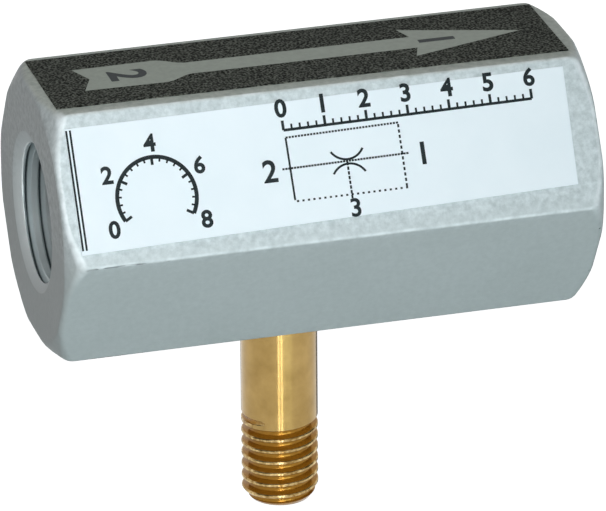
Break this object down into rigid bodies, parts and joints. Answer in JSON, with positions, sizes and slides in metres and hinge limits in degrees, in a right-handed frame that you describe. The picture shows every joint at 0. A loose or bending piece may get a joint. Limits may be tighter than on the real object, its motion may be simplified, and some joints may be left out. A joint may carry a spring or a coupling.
{
  "type": "vacuum ejector",
  "caption": "Inline vacuum ejector: a hexagonal bar body with a supply port and a vacuum port in its ends, nozzles inside, and a threaded brass exhaust tube standing out of a flat.",
  "frame": {"origin": "centre of the vacuum port's mouth, on the end face", "axes": "+X along the body from the vacuum port to the supply port, +Z out of the flat with the arrow label, so the exhaust tube points along -Z and the type label faces -Y and up"},
  "size_m": [0.0355, 0.0196, 0.0306],
  "materials": {
    "body": "silver-grey lacquer",
    "tube": "turned, bright",
    "nozzle": "turned, bright",
    "seal": "matt black nitrile rubber",
    "black_label": "fine-grained black film",
    "white_label": "satin white film"
  },
  "bodies": {
    "root": {"hex_body": "body", "exhaust_tube": "tube", "jet_nozzle": "nozzle", "tube_ring": "seal", "nozzle_ring": "seal", "arrow_label": "black_label", "type_label": "white_label"}
  },
  "joints": []
}
